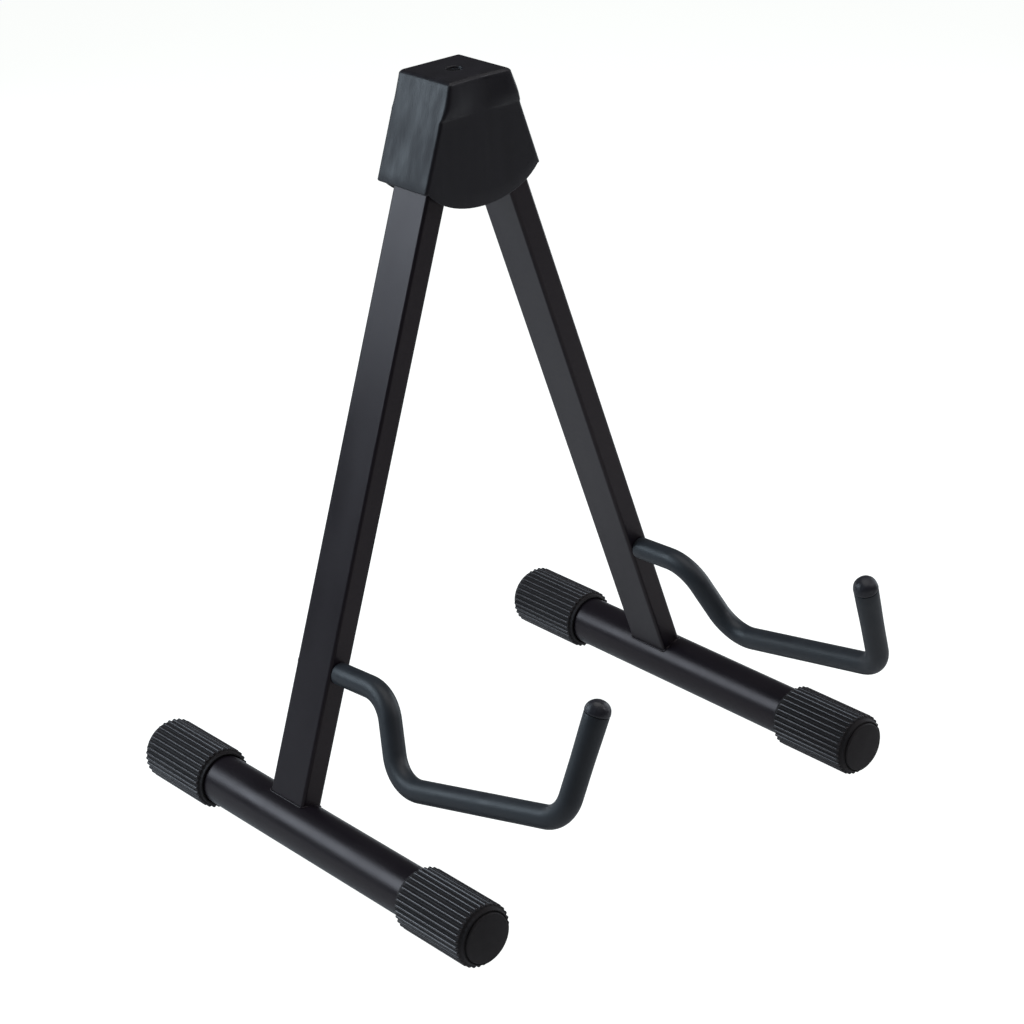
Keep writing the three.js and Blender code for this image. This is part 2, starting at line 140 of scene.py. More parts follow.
# From the spigot's end to the start of the dome: height above the sleeve's end, radius
TIP_PROFILE = [(-TIP_SPIGOT, 3.6 * MM), (-TIP_SPIGOT + 0.6 * MM, TIP_SPIGOT_RADIUS),
               (0.2 * MM, TIP_SPIGOT_RADIUS), (0.2 * MM, 6.7 * MM), (0.25 * MM, 7.15 * MM),
               (0.4 * MM, 7.4 * MM), (0.8 * MM, 7.6 * MM), (TIP_DOME_START, TIP_RADIUS)]
TIP_LUMPS = 0.07  # share of its radius by which the dome is uneven
TIP_LUMPS_RISE = (0.5 * MM, 3 * MM)  # heights where that starts and is full

# Head cover
COVER_SIDE = 15.1 * MM  # from the leg's centre line out to the side face, square to the leg
COVER_HALF_DEPTH = 23 * MM
COVER_WALL = 2.2 * MM
COVER_TOP_WALL = 4.5 * MM
COVER_SIDE_BOTTOM = 396 * MM
COVER_TOP_EDGE = 2.3 * MM
COVER_LOWER_EDGE = 1.1 * MM
COVER_CORNER = 2 * MM
CAVITY_HALF_DEPTH = COVER_HALF_DEPTH - COVER_WALL
CAVITY_CORNER = 1.2 * MM
CAVITY_EDGE = 0.8 * MM
BACK_CURVE_INSET = 1.5 * MM  # straight run at each end of the back skirt's lower edge
CROWN_START = 436.0 * MM
CROWN_PROUD = 2.4 * MM  # how far the crown's front stands out at its lower corners
CROWN_SPREAD = (2 * MM, 24 * MM)  # from the middle, where the crown starts to stand out and is full
# Up the crown in millimetres: height, share of its stand-out, and corner radius
CROWN_ROWS = [(436.8, 0.03, 1.7), (437.3, 0.16, 1.8), (437.8, 0.34, 1.9), (438.6, 0.5, 2.1),
              (440, 0.68, 2.4), (442, 0.9, 2.6), (444, 1.0, 2.7), (447, 0.95, 2.6), (451, 0.75, 2.4),
              (454.5, 0.55, 2.2), (456.7, 0.45, 2.0)]
RECESS_RADIUS = 5 * MM
RECESS_EDGE = 0.9 * MM
RECESS_DEPTH = 2.2 * MM
RECESS_FILLET = 0.25 * MM
SCREW_HOLE = 2.3 * MM

# Cover screw
SCREW_SIDES = 48
SCREW_CLEARANCE = 0.3 * MM  # under its head
SCREW_SHANK = 2 * MM
SCREW_POINT = 0.5 * MM
SCREW_EDGE = 0.25 * MM
SCREW_DOME_STEPS = 9
SCREW_NECK = 0.6 * MM  # plain shank under the head
THREAD_PITCH = 0.7 * MM
THREAD_FLANK = 0.18 * MM
THREAD_DEPTH = 0.22 * MM
CROSS_DEPTH = 0.9 * MM
CROSS_WIDTH = (0.35 * MM, 0.6 * MM)  # half the slot's width, at its floor and at its rim
CROSS_REACH = (1.9 * MM, 2.5 * MM)  # half its length, likewise

# Studio
FLOOR_DROP = 0.0236  # just more than the folded feet reach below the spread ones
FLOOR_REACH = 6.0
BACKGROUND = (0.985, 1.0, 0.98, 1)
# Name, place, the point that it faces, width, height, watts and colour
LIGHTS = [
    ("key", (-0.98, 0.89, 0.84), (-0.05, 0.0, 0.25), 0.8, 0.82, 12.5, (0.74, 0.88, 1.0)),
    ("top", (0.1, -0.05, 1.35), (0, 0, 0.2), 1.0, 1.0, 5, (1, 1, 1)),
    ("fill", (0.95, -0.95, 1.3), (0, 0, 0.25), 0.7, 0.7, 5, (0.95, 0.94, 1.0)),
    ("side", (1.55, -0.05, 0.45), (0, 0, 0.2), 0.9, 0.9, 6, (0.88, 0.94, 1.0)),
    ("back", (-0.1, 1.75, 0.35), (0, 0, 0.2), 0.8, 0.5, 2.5, (0.9, 0.95, 1.0)),
]

SIDES = {"left": -1, "right": 1}
JOINTS = {joint["name"]: joint for joint in frame["joints"]}

scene = bpy.context.scene


# ---- Mesh helpers ----

def grid_faces(rings, loop):
    """Faces over a run of rings. A ring of one point is a pole, and loop joins the last to the first."""
    starts = []
    total = 0
    for ring in rings:
        starts.append(total)
        total += len(ring)
    pairs = [(row, row + 1) for row in range(len(rings) - 1)]
    if loop:
        pairs.append((len(rings) - 1, 0))
    faces = []
    for low, high in pairs:
        count = max(len(rings[low]), len(rings[high]))
        for column in range(count):
            following = (column + 1) % count
            corners = []
            for row, index in ((low, column), (low, following), (high, following), (high, column)):
                corner = starts[row] + (index if len(rings[row]) > 1 else 0)
                if corner not in corners:
                    corners.append(corner)
            faces.append(corners)
    return faces


def add_piece(name, rings, material, body, nodes=(), loop=False, sharp=math.pi / 3):
    """A closed mesh over the rings, shaded smooth, riding on a CAD body."""
    mesh = bpy.data.meshes.new(name)
    points = [point for ring in rings for point in ring]
    mesh.from_pydata(points, [], grid_faces(rings, loop))
    work = bmesh.new()
    work.from_mesh(mesh)
    bmesh.ops.recalc_face_normals(work, faces=work.faces)
    work.to_mesh(mesh)
    work.free()
    mesh.shade_smooth()
    mesh.set_sharp_from_angle(angle=sharp)
    mesh.materials.append(material)
    piece = bpy.data.objects.new(name, mesh)
    scene.collection.objects.link(piece)
    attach(piece, body)
    if nodes:
        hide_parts(*nodes)
    return piece


def circle(centre, across, up, radius, count):
    """Points of a circle; across and up are unit vectors in its plane."""
    ring = []
    for index in range(count):
        angle = 2 * math.pi * index / count
        ring.append(centre + radius * (math.cos(angle) * across + math.sin(angle) * up))
    return ring


def smooth(value, low, high):
    """0 below low, 1 above high and a smooth rise between them."""
    share = min(max((value - low) / (high - low), 0.0), 1.0)
    return share * share * (3 - 2 * share)


def round_over(angles):
    """Shares of an edge's radius, round a quarter turn: how far in, and how far on."""
    return [(1 - math.sin(math.radians(angle)), 1 - math.cos(math.radians(angle))) for angle in angles]


# ---- Frames taken from the CAD ----

def box_middle(node):
    low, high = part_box(node)
    return (low + high) / 2


def rail_radius(side):
    low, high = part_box(f"{side}_rail")
    return (high.z - low.z) / 2


def leg_frame(side):
    """Origin on the rail axis, Z up the leg to its pivot, and Y straight back through the leg."""
    joint = JOINTS[f"{side}_leg_fold"]
    pivot = Vector(joint["pos_m"])
    back = Vector(joint["axis"])
    if back.y < 0:
        back = -back
    rail_middle = box_middle(f"{side}_rail")
    origin = Vector((rail_middle.x, pivot.y, rail_middle.z))
    up = (pivot - origin).normalized()
    columns = Matrix((back.cross(up), back, up)).transposed().to_4x4()
    return Matrix.Translation(origin) @ columns


LEG_FRAMES = {side: leg_frame(side) for side in SIDES}


# ---- Materials ----

def surface(name, color, roughness, mottle, grain, wave=None, specular=0.5, specular_tint=(1, 1, 1),
            metallic=0.0, roughness_spread=0.05, stretch=(1, 1, 1), crest_polish_highlight=None):
    """A painted or moulded surface. mottle is (scale, share of colour change); wave and grain are the
    (scale, height) of a slow waviness and of the fine texture; stretch squeezes the slow patterns;
    crest_polish_highlight is the (colour, roughness) where the mesh's crest_polish_highlight attribute
    nears 1: the lower roughness is a polish, and the lighter colour is a painted highlight."""
    material = bpy.data.materials.new(name)
    material.use_nodes = True
    nodes = material.node_tree.nodes
    links = material.node_tree.links
    shader = nodes["Principled BSDF"]
    shader.inputs["Metallic"].default_value = metallic
    shader.inputs["Specular IOR Level"].default_value = specular
    shader.inputs["Specular Tint"].default_value = (*specular_tint, 1)
    coordinates = nodes.new("ShaderNodeTexCoord")
    mapping = nodes.new("ShaderNodeMapping")
    mapping.inputs["Scale"].default_value = stretch
    links.new(coordinates.outputs["Object"], mapping.inputs["Vector"])

    def noise_texture(scale, detail, vector):
        texture = nodes.new("ShaderNodeTexNoise")
        texture.inputs["Scale"].default_value = scale
        texture.inputs["Detail"].default_value = detail
        links.new(vector, texture.inputs["Vector"])
        return texture.outputs["Fac"]

    def over_crest_highlight(plain, data_type, crest_value):
        share = nodes.new("ShaderNodeAttribute")
        share.attribute_name = "crest_polish_highlight"
        polished_and_highlit = nodes.new("ShaderNodeMix")
        polished_and_highlit.data_type = data_type
        polished_and_highlit.inputs["B"].default_value = crest_value
        links.new(share.outputs["Fac"], polished_and_highlit.inputs["Factor"])
        links.new(plain, polished_and_highlit.inputs["A"])
        return polished_and_highlit.outputs["Result"]

    patch_scale, patch_share = mottle
    patches = noise_texture(patch_scale, 4.0, mapping.outputs["Vector"])
    tint = nodes.new("ShaderNodeMix")
    tint.data_type = "RGBA"
    tint.inputs["A"].default_value = (*[channel * (1 - patch_share) for channel in color], 1)
    tint.inputs["B"].default_value = (*[channel * (1 + patch_share) for channel in color], 1)
    links.new(patches, tint.inputs["Factor"])
    sheen = nodes.new("ShaderNodeMapRange")
    sheen.inputs["From Min"].default_value = 0.3
    sheen.inputs["From Max"].default_value = 0.7
    sheen.inputs["To Min"].default_value = roughness - roughness_spread
    sheen.inputs["To Max"].default_value = roughness + roughness_spread
    links.new(patches, sheen.inputs["Value"])
    color_out = tint.outputs["Result"]
    roughness_out = sheen.outputs["Result"]
    # the crest mask paints a lighter colour on as a highlight, and lowers the roughness for polish
    if crest_polish_highlight:
        crest_highlight_color, crest_roughness = crest_polish_highlight
        color_out = over_crest_highlight(color_out, "RGBA", (*crest_highlight_color, 1))
        roughness_out = over_crest_highlight(roughness_out, "FLOAT", crest_roughness)
    links.new(color_out, shader.inputs["Base Color"])
    links.new(roughness_out, shader.inputs["Roughness"])

    normal = None
    for relief, detail, vector in (
        (wave, 2.0, mapping.outputs["Vector"]),
        (grain, 3.0, coordinates.outputs["Object"]),
    ):
        if not relief:
            continue
        scale, height = relief
        bump = nodes.new("ShaderNodeBump")
        bump.inputs["Distance"].default_value = height
        links.new(noise_texture(scale, detail, vector), bump.inputs["Height"])
        if normal:
            links.new(normal, bump.inputs["Normal"])
        normal = bump.outputs["Normal"]
    links.new(normal, shader.inputs["Normal"])
    return material


POWDER_COAT = surface("powder_coat", (0.0086, 0.0068, 0.0104), 0.34, mottle=(30.0, 0.18),
                      grain=(1100.0, 0.000012), wave=(26.0, 0.00012), specular=0.36,
                      specular_tint=(1.0, 0.87, 0.86), stretch=(1, 1, 0.25))
# the rib crests are painted a lighter colour as a highlight, and polished to a lower roughness
FOOT_RUBBER = surface("foot_rubber", (0.0044, 0.0042, 0.0052), 0.68, mottle=(60.0, 0.2),
                      grain=(1500.0, 0.00001), specular=0.42, specular_tint=(1.0, 0.92, 0.92),
                      crest_polish_highlight=((0.033, 0.031, 0.034), 0.2))
COVER_RUBBER = surface("cover_rubber", (0.0062, 0.0050, 0.0084), 0.46, mottle=(110.0, 0.4),
                       grain=(900.0, 0.00004), wave=(60.0, 0.0003), specular=0.37,
                       roughness_spread=0.1, stretch=(1, 1, 0.12))
SLEEVE_RUBBER = surface("sleeve_rubber", (0.023, 0.027, 0.033), 0.46, mottle=(70.0, 0.2),
                        grain=(800.0, 0.000012), wave=(60.0, 0.00025), specular=0.38)
TIP_RUBBER = surface("tip_rubber", (0.024, 0.024, 0.031), 0.42, mottle=(180.0, 0.4),
                     grain=(900.0, 0.00002), wave=(230.0, 0.0005), specular=0.4, roughness_spread=0.12)
BLACK_ZINC = surface("black_zinc", (0.02, 0.02, 0.022), 0.55, mottle=(400.0, 0.3),
                     grain=(2500.0, 0.000006), metallic=1.0)
ZINC = surface("zinc", (0.42, 0.43, 0.45), 0.38, mottle=(300.0, 0.25), grain=(2500.0, 0.000006),
               metallic=1.0)
NYLON = surface("nylon", (0.62, 0.6, 0.54), 0.45, mottle=(200.0, 0.06), grain=(1800.0, 0.000006))
BLACK_PLASTIC = surface("black_plastic", (0.018, 0.018, 0.019), 0.5, mottle=(120.0, 0.15),
                        grain=(1500.0, 0.00001))

# What each CAD node wears, by its slot in the record
CAD_FINISH = {"powder_coat": POWDER_COAT, "zinc_steel": ZINC, "nylon": NYLON,
              "black_plastic": BLACK_PLASTIC, "foot_rubber": FOOT_RUBBER, "head_cover": COVER_RUBBER,
              "arm_sleeve": SLEEVE_RUBBER, "arm_tip": TIP_RUBBER}


# ---- Feet ----

def rib_columns():
    """(angle, share of rib height) around the foot, with one rib pointing straight down."""
    columns = []
    for rib in range(FOOT_RIBS):
        middle = 2 * math.pi * rib / FOOT_RIBS - math.pi / 2
        spans = [(-offset, share) for offset, share in reversed(RIB_PROFILE[1:])] + RIB_PROFILE
        for offset, share in spans:
            columns.append((middle + offset * MM / (RIB_BASE + RIB_HEIGHT), share))
    return columns


def foot(side, where):
    name = f"{side}_{where}_foot"
    low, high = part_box(name)
    outward = -1 if where == "front" else 1
    mouth = high.y if where == "front" else low.y
    middle = box_middle(name)
    columns = rib_columns()

    def point(along, radius, angle):
        across = radius * math.cos(angle)
        return Vector((middle.x + across, mouth + outward * along, middle.z + radius * math.sin(angle)))

    rings = [[point(FOOT_BORE_END, 0, 0)]]
    polish_highlight_shares = [0.0]
    for along, radius, rib in FOOT_ROWS:
        rings.append([
            point(along * MM, radius * MM + rib * share * RIB_HEIGHT, angle) for angle, share in columns
        ])
        # the end disc gets a little of the crests' painted sheen and polish
        disc_sheen_share = DISC_POLISH_SHEEN if along > FOOT_DISC_START else 0.0
        polish_highlight_shares += [smooth(rib * share, *CREST_POLISH_HIGHLIGHT) + disc_sheen_share for _, share in columns]
    rings.append([point(FOOT_LENGTH, 0, 0)])
    polish_highlight_shares.append(DISC_POLISH_SHEEN)
    piece = add_piece(f"{name}_ribbed", rings, FOOT_RUBBER, f"{side}_frame", [name])
    # each point's share of painted highlight and polish: full on the rib crests
    crest_polish_highlight = piece.data.attributes.new("crest_polish_highlight", "FLOAT", "POINT")
    crest_polish_highlight.data.foreach_set("value", polish_highlight_shares)


# ---- Rails and legs ----

def rail(side):
    name = f"{side}_rail"
    low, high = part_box(name)
    middle = box_middle(name)
    outer = rail_radius(side)
    inner = outer - RAIL_WALL
    rings = []
    for y, radius in ((low.y, inner), (low.y, outer), (high.y, outer), (high.y, inner)):
        rings.append(circle(Vector((middle.x, y, middle.z)), ACROSS, UP, radius, RAIL_SIDES))
    add_piece(f"{name}_tube", rings, POWDER_COAT, f"{side}_frame", [name], loop=True)


def rounded_rectangle(width, depth, corner, steps):
    """Points round a rectangle with rounded corners, with one more on each flat beside them."""
    points = []
    for quarter, (sign_x, sign_y) in enumerate(((1, 1), (-1, 1), (-1, -1), (1, -1))):
        centre_x = sign_x * (width / 2 - corner)
        centre_y = sign_y * (depth / 2 - corner)
        start = quarter * math.pi / 2
        before = Vector((math.sin(start), -math.cos(start))) * FLAT_MARGIN
        arc = []
        for step in range(steps + 1):
            angle = start + math.pi / 2 * step / steps
            arc.append(Vector((centre_x + corner * math.cos(angle), centre_y + corner * math.sin(angle))))
        end = start + math.pi / 2
        after = Vector((-math.sin(end), math.cos(end))) * FLAT_MARGIN
        points += [arc[0] + before, *arc, arc[-1] + after]
    return points


def height_on_rail(side, clearance, x, y):
    """Where a line that runs up the leg at (x, y) clears the rail, in the leg's frame."""
    axis = LEG_FRAMES[side].inverted().to_3x3() @ Vector((0, 1, 0))
    start = Vector((x, y, 0))
    up = Vector((0, 0, 1))
    start -= start.dot(axis) * axis
    up -= up.dot(axis) * axis
    a = up.dot(up)
    b = start.dot(up)
    c = start.dot(start) - (rail_radius(side) + clearance) ** 2
    return (-b + math.sqrt(b * b - a * c)) / a


def leg(side):
    matrix = LEG_FRAMES[side]
    pivot = Vector(JOINTS[f"{side}_leg_fold"]["pos_m"])
    top = (pivot - matrix.translation).length + LEG_PAST_PIVOT
    outer = rounded_rectangle(LEG_WIDTH, LEG_DEPTH, LEG_CORNER, LEG_CORNER_STEPS)
    inner = rounded_rectangle(LEG_WIDTH - 2 * LEG_WALL, LEG_DEPTH - 2 * LEG_WALL, LEG_CORNER - LEG_WALL,
                              LEG_CORNER_STEPS)
    rings = []
    for outline, at_top in ((inner, False), (outer, False), (outer, True), (inner, True)):
        ring = []
        for x, y in outline:
            z = top if at_top else height_on_rail(side, LEG_SEAT, x, y)
            ring.append(matrix @ Vector((x, y, z)))
        rings.append(ring)
    name = f"{side}_leg"
    add_piece(f"{name}_tube", rings, POWDER_COAT, f"{side}_frame", [name], loop=True)


def leg_weld(side):
    """The weld bead round the leg's coped end, laid in short overlapping puddles."""
    matrix = LEG_FRAMES[side]
    outline = rounded_rectangle(LEG_WIDTH + 2 * LEG_WELD_OUT, LEG_DEPTH + 2 * LEG_WELD_OUT,
                                LEG_CORNER + LEG_WELD_OUT, LEG_WELD_CORNER_STEPS)
    corners = [Vector((x, y, height_on_rail(side, LEG_WELD_LIFT, x, y))) for x, y in outline]
    path = []
    for index, corner in enumerate(corners):
        following = corners[(index + 1) % len(corners)]
        steps = max(1, round((following - corner).length / LEG_WELD_STEP))
        path += [corner.lerp(following, step / steps) for step in range(steps)]
    rings = []
    travelled = 0.0
    for index, point in enumerate(path):
        ahead = path[(index + 1) % len(path)]
        behind = path[index - 1]
        travelled += (point - behind).length if index else 0.0
        along = (ahead - behind).normalized()
        outward = along.cross(UP).normalized()
        up = outward.cross(along)
        puddle = LEG_WELD_RIPPLE * math.cos(2 * math.pi * travelled / LEG_WELD_PUDDLE)
        radius = LEG_WELD_RADIUS * (1 + puddle + LEG_WELD_UNEVEN * noise.noise(point * 400))
        rings.append([matrix @ spot for spot in circle(point, outward, up, radius, LEG_WELD_SIDES)])
    add_piece(f"{side}_leg_weld", rings, POWDER_COAT, f"{side}_frame", loop=True)


def arm_weld(side):
    """The puddle that closes the rod's hole on the back of the leg."""
    matrix = LEG_FRAMES[side]
    middle = ARM_ALONG - ARM_SLOPE * LEG_DEPTH / 2

    def spot(depth, x=0.0, z=0.0):
        return matrix @ Vector((x, LEG_DEPTH / 2 + depth * MM, middle + z))

    rings = [[spot(ARM_WELD_START)]]
    for depth, radius in ARM_WELD_PROFILE:
        ring = []
        for index in range(ARM_WELD_SIDES):
            angle = 2 * math.pi * index / ARM_WELD_SIDES
            wander = noise.noise(Vector((math.cos(angle), math.sin(angle), 7.0)) * 1.3)
            spread = radius * MM * (1 + ARM_WELD_UNEVEN * wander)
            ring.append(spot(depth, spread * math.cos(angle), spread * math.sin(angle)))
        rings.append(ring)
    rings.append([spot(ARM_WELD_END)])
    add_piece(f"{side}_arm_weld", rings, POWDER_COAT, f"{side}_frame")


# ---- Support arms ----

def rounded_path(points, radii):
    """Flat points along a polyline with an arc at each inner corner, each with its direction."""
    path = []
    position = Vector(points[0])

    def add_line(start, end):
        direction = (end - start).normalized()
        steps = max(1, math.ceil((end - start).length / ARM_LINE_STEP))
        for step in range(steps + 1):
            path.append((start.lerp(end, step / steps), direction))

    for corner, following, radius in zip(points[1:-1], points[2:], radii):
        corner = Vector(corner)
        arriving = (corner - position).normalized()
        leaving = (Vector(following) - corner).normalized()
        turn = arriving.angle_signed(leaving)
        reach = radius * math.tan(abs(turn) / 2)
        start = corner - reach * arriving
        add_line(position, start)
        steps = math.ceil(abs(turn) / ARM_ARC_STEP)
        sideways = Vector((arriving.y, -arriving.x)) if turn > 0 else Vector((-arriving.y, arriving.x))
        centre = start + radius * sideways
        for step in range(1, steps):
            rotation = Matrix.Rotation(-turn * step / steps, 2)
            path.append((centre + rotation @ (start - centre), rotation @ arriving))
        position = corner + reach * leaving
    add_line(position, Vector(points[-1]))
    return path


def arm_path():
    forward = LEG_DEPTH / 2 + SLEEVE_START
    start = (forward, ARM_ALONG + ARM_SLOPE * forward)
    return rounded_path([start, *ARM_CORNERS, ARM_END], ARM_BENDS)


def in_leg_frame(flat):
    """A point or direction of the arm's path, in the leg's frame."""
    return Vector((0, -flat.x, flat.y))


def arm_sleeve(side):
    matrix = LEG_FRAMES[side]
    path = arm_path()

    def section(point, direction, radius):
        up = in_leg_frame(direction).cross(ACROSS)
        return [matrix @ spot for spot in circle(in_leg_frame(point), ACROSS, up, radius, SLEEVE_SIDES)]

    length = sum((point - before).length for (before, _), (point, _) in zip(path, path[1:]))
    point, direction = path[0]
    rings = []
    for inset, onward in round_over((0, 30, 60)):
        edge_point = point + direction * SLEEVE_START_EDGE * onward
        rings.append(section(edge_point, direction, SLEEVE_RADIUS - SLEEVE_START_EDGE * inset))
    travelled = 0.0
    for index, (point, direction) in enumerate(path[:-1]):
        if index:
            travelled += (point - path[index - 1][0]).length
        else:
            point = point + direction * SLEEVE_START_EDGE
        slack = 1 + SLEEVE_SLACK * noise.noise(Vector((travelled * 40, SIDES[side] * 3.0, 0.5)))
        flare = 1 + SLEEVE_FLARE * smooth(travelled, length - SLEEVE_FLARE_LENGTH, length)
        rings.append(section(point, direction, SLEEVE_RADIUS * slack * flare))
    point, direction = path[-1]
    end_radius = SLEEVE_RADIUS * (1 + SLEEVE_FLARE)
    for inset, back in round_over((90, 60, 30, 0)):
        edge_point = point - direction * SLEEVE_END_EDGE * back
        rings.append(section(edge_point, direction, end_radius - SLEEVE_END_EDGE * inset))
    rings.append(section(point, direction, SLEEVE_BORE))
    for point, direction in reversed(path):
        rings.append(section(point, direction, SLEEVE_BORE))
    name = f"{side}_arm_sleeve"
    add_piece(f"{name}_soft", rings, SLEEVE_RUBBER, f"{side}_frame", [name], loop=True)


def arm_tip(side):
    matrix = LEG_FRAMES[side]
    point, direction = arm_path()[-1]
    centre = in_leg_frame(point)
    along = in_leg_frame(direction)
    up = along.cross(ACROSS)
    profile = list(TIP_PROFILE)
    for step in range(1, TIP_DOME_STEPS):
        angle = math.pi / 2 * step / TIP_DOME_STEPS
        height = TIP_DOME_START + (TIP_HEIGHT - TIP_DOME_START) * math.sin(angle)
        profile.append((height, TIP_RADIUS * math.cos(angle) ** 0.9))
    rings = [[centre + along * -TIP_SPIGOT]]
    for height, radius in profile:
        ring = []
        for spot in circle(centre + along * height, ACROSS, up, radius, TIP_SIDES):
            lump = noise.noise((spot - centre) * 130 + Vector((SIDES[side] * 5.0, 0, 0)))
            outward = spot - centre - along * height
            ring.append(spot + outward * TIP_LUMPS * lump * smooth(height, *TIP_LUMPS_RISE))
        rings.append(ring)
    rings.append([centre + along * TIP_HEIGHT])
    rings = [[matrix @ spot for spot in ring] for ring in rings]
    name = f"{side}_arm_tip"
    add_piece(f"{name}_domed", rings, TIP_RUBBER, f"{side}_frame", [name])


# ---- Head ----

RIGHT_LEG = LEG_FRAMES["right"]
LEG_UP = RIGHT_LEG.to_3x3() @ UP
HEAD_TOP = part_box("head_cover")[1].z
HEAD_ARC_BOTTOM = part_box("head_cover")[0].z


def leg_centre(z):
    """The right leg's centre line at a height."""
    return RIGHT_LEG.translation + LEG_UP * ((z - RIGHT_LEG.translation.z) / LEG_UP.z)


def half_width(z, side_offset):
    """From the middle to a side face that runs side_offset outside the leg's centre line."""
    cosine = math.hypot(LEG_UP.y, LEG_UP.z)
    return leg_centre(z).x + side_offset / cosine


def arc_height(x, at_back):
    """Height of the curved lower edge at a distance from the middle; the back's curve is narrower."""
    reach = half_width(COVER_SIDE_BOTTOM, COVER_SIDE) - (BACK_CURVE_INSET if at_back else 0)
    rise = COVER_SIDE_BOTTOM - HEAD_ARC_BOTTOM
    radius = (reach * reach + rise * rise) / (2 * rise)
    return HEAD_ARC_BOTTOM + radius - math.sqrt(radius * radius - min(abs(x), reach) ** 2)


def cover_columns():
    """Round the cover from its front: (quarter, kind, share), where a face's share runs from -1 to 1 and
    a corner's from 0 to 1."""
    near_edge = [0.93, 0.97, 1.0]
    wide = [-share for share in reversed(near_edge)] + [step / 12 for step in range(-11, 12)] + near_edge
    narrow = [-1, -0.96, -0.9, -0.6, -0.3, 0, 0.3, 0.6, 0.9, 0.96, 1]
    corner_steps = 6
    columns = []
    for quarter in range(4):
        face = wide if quarter % 2 == 0 else narrow
        columns += [(quarter, "face", share) for share in face]
        columns += [(quarter, "corner", step / corner_steps) for step in range(1, corner_steps)]
    return columns


def cover_section(z_of, side_offset, half_depth, corner_radius, proud=0.0):
    """One ring round the cover. z_of gives the height for a sideways share, at the front or the back,
    and proud is how far the front's outer parts stand out."""
    ring = []
    for quarter, kind, share in cover_columns():
        turn = Matrix.Rotation(quarter * math.pi / 2, 2)
        towards = turn @ Vector((share if kind == "face" else 1, -1))
        sideways = towards.x if abs(towards.x) < 1 else math.copysign(1, towards.x)
        z = z_of(sideways, towards.y > 0)
        width = half_width(z, side_offset)
        size = Vector((width, half_depth)) if quarter % 2 == 0 else Vector((half_depth, width))
        if kind == "face":
            flat_reach = size.x - corner_radius
            spot = Vector((share * flat_reach, -size.y))
        else:
            angle = share * math.pi / 2
            spot = Vector((size.x - corner_radius + corner_radius * math.sin(angle),
                           -size.y + corner_radius + corner_radius * -math.cos(angle)))
        spot = turn @ spot
        at_front = smooth(-spot.y, 0.5 * half_depth, 0.92 * half_depth)
        spot.y -= proud * at_front * smooth(abs(spot.x), *CROWN_SPREAD)
        ring.append(Vector((spot.x, leg_centre(z).y + spot.y, z)))
    return ring


def head_cover():
    def above_bottom(offset):
        def z_of(sideways, at_back):
            x = sideways * half_width(COVER_SIDE_BOTTOM, COVER_SIDE)
            return arc_height(x, at_back) + offset
        return z_of

    def up_to_crown(share):
        bottom = above_bottom(COVER_LOWER_EDGE)
        return lambda *place: bottom(*place) + (CROWN_START - bottom(*place)) * share

    def level(z):
        return lambda *place: z

    def outer_ring(z_of, inset=0.0, corner=COVER_CORNER, proud=0.0):
        return cover_section(z_of, COVER_SIDE - inset, COVER_HALF_DEPTH - inset, corner, proud)

    def cavity_ring(z_of, inset=0.0, corner=CAVITY_CORNER):
        return cover_section(z_of, COVER_SIDE - COVER_WALL - inset, CAVITY_HALF_DEPTH - inset, corner)

    # the lower rim, from the cavity's wall round to the outside
    rings = [cavity_ring(above_bottom(0.5 * MM)), cavity_ring(above_bottom(0.1 * MM), -0.25 * MM, 1.3 * MM)]
    for inset, onward in round_over((0, 30, 60, 90)):
        rings.append(outer_ring(above_bottom(COVER_LOWER_EDGE * onward), COVER_LOWER_EDGE * inset))
    for share in (0.15, 0.35, 0.55, 0.75, 0.9, 1.0):
        rings.append(outer_ring(up_to_crown(share)))
    # the crown, whose front flares out to a soft rim above the flat lower part
    for z, proud_share, corner in CROWN_ROWS:
        rings.append(outer_ring(level(z * MM), 0.0, corner * MM, proud_share * CROWN_PROUD))
    _, proud_share, corner = CROWN_ROWS[-1]
    proud = proud_share * CROWN_PROUD
    for down, inset in round_over((22.5, 45, 67.5, 90)):
        inset *= COVER_TOP_EDGE
        z = HEAD_TOP - COVER_TOP_EDGE * down
        rings.append(outer_ring(level(z), inset, corner * MM - 0.5 * inset, proud))
    rings.append(outer_ring(level(HEAD_TOP), COVER_TOP_EDGE + 0.5 * MM, 1.2 * MM, 0.8 * proud))
    # the screw's recess and hole, down the middle of the top
    centre = Vector((0, leg_centre(HEAD_TOP).y, HEAD_TOP))
    directions = [(spot - centre).normalized() for spot in rings[-1]]

    def round_ring(radius, z):
        return [Vector((centre.x + way.x * radius, centre.y + way.y * radius, z)) for way in directions]

    rings.append(round_ring(RECESS_RADIUS + 1.5 * MM, HEAD_TOP))
    for outward, down in round_over((0, 30, 60, 90)):
        rings.append(round_ring(RECESS_RADIUS + RECESS_EDGE * outward, HEAD_TOP - RECESS_EDGE * down))
    recess_floor = HEAD_TOP - RECESS_DEPTH
    rings.append(round_ring(RECESS_RADIUS, recess_floor + RECESS_FILLET))
    rings.append(round_ring(RECESS_RADIUS - RECESS_FILLET, recess_floor))
    rings.append(round_ring(SCREW_HOLE, recess_floor))
    ceiling = HEAD_TOP - COVER_TOP_WALL
    rings.append(round_ring(SCREW_HOLE, ceiling))
    # the cavity's ceiling and walls
    rings.append(cavity_ring(level(ceiling), CAVITY_EDGE))
    rings.append(cavity_ring(level(ceiling - CAVITY_EDGE)))
    rings.append(cavity_ring(level(CROWN_START)))
    add_piece("head_cover_moulded", rings, COVER_RUBBER, "head", ["head_cover"], loop=True)


